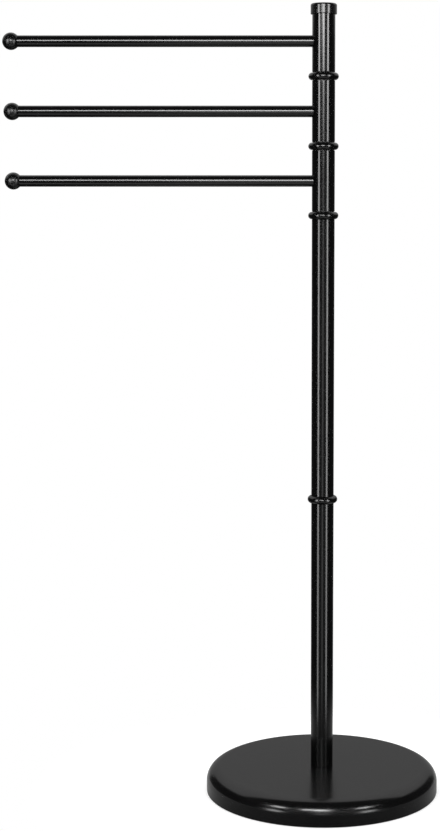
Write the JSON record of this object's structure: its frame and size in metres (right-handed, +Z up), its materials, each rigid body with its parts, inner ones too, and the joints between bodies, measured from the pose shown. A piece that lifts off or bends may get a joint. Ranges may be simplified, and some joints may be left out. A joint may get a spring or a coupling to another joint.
{
  "type": "freestanding towel stand",
  "caption": "Freestanding towel stand: weighted round foot, upright tube post, and a stack of horizontal ball-ended arms that swivel round the post's top.",
  "frame": {"origin": "centre of the foot's underside on the floor, on the post's axis", "axes": "+Z up along the post; -X along the arms at rest; the pictured side faces -Y"},
  "size_m": [0.486, 0.265, 0.89],
  "materials": {
    "painted_steel": "satin black paint",
    "plated_steel": "bright zinc plate",
    "cast_weight": "rough casting, primed",
    "weld_metal": "weld bead under paint",
    "bush_nylon": "moulded nylon",
    "pad_rubber": "foamed rubber sheet"
  },
  "bodies": {
    "stand": {"base_cover": "painted_steel", "base_weight": "cast_weight", "base_plate": "plated_steel", "base_pad": "pad_rubber", "base_bolt": "plated_steel", "base_washer": "plated_steel", "base_spring_washer": "plated_steel", "foot_insert": "plated_steel", "lower_tube": "painted_steel", "lower_joint_insert": "plated_steel", "joint_ring": "painted_steel", "joint_stud": "plated_steel", "upper_joint_insert": "plated_steel", "upper_tube": "painted_steel", "rod_insert": "plated_steel", "swivel_rod": "plated_steel", "lower_ring": "painted_steel", "middle_ring": "painted_steel", "upper_ring": "painted_steel", "bowed_washer": "plated_steel", "top_cap": "painted_steel"},
    "lower_arm": {"lower_sleeve": "painted_steel", "lower_sleeve_bottom_bush": "bush_nylon", "lower_sleeve_top_bush": "bush_nylon", "lower_arm_tube": "painted_steel", "lower_arm_weld": "weld_metal", "lower_finial_insert": "plated_steel", "lower_finial_stud": "plated_steel", "lower_ball_finial": "painted_steel"},
    "middle_arm": {"middle_sleeve": "painted_steel", "middle_sleeve_bottom_bush": "bush_nylon", "middle_sleeve_top_bush": "bush_nylon", "middle_arm_tube": "painted_steel", "middle_arm_weld": "weld_metal", "middle_finial_insert": "plated_steel", "middle_finial_stud": "plated_steel", "middle_ball_finial": "painted_steel"},
    "upper_arm": {"upper_sleeve": "painted_steel", "upper_sleeve_bottom_bush": "bush_nylon", "upper_sleeve_top_bush": "bush_nylon", "upper_arm_tube": "painted_steel", "upper_arm_weld": "weld_metal", "upper_finial_insert": "plated_steel", "upper_finial_stud": "plated_steel", "upper_ball_finial": "painted_steel"}
  },
  "joints": [
    {"name": "lower_arm_swivel", "type": "hinge", "parent": "stand", "child": "lower_arm", "pos_m": [0, 0, 0.6966], "axis": [0, 0, 1], "continuous": true},
    {"name": "middle_arm_swivel", "type": "hinge", "parent": "stand", "child": "middle_arm", "pos_m": [0, 0, 0.7728], "axis": [0, 0, 1], "continuous": true},
    {"name": "upper_arm_swivel", "type": "hinge", "parent": "stand", "child": "upper_arm", "pos_m": [0, 0, 0.849], "axis": [0, 0, 1], "continuous": true}
  ]
}
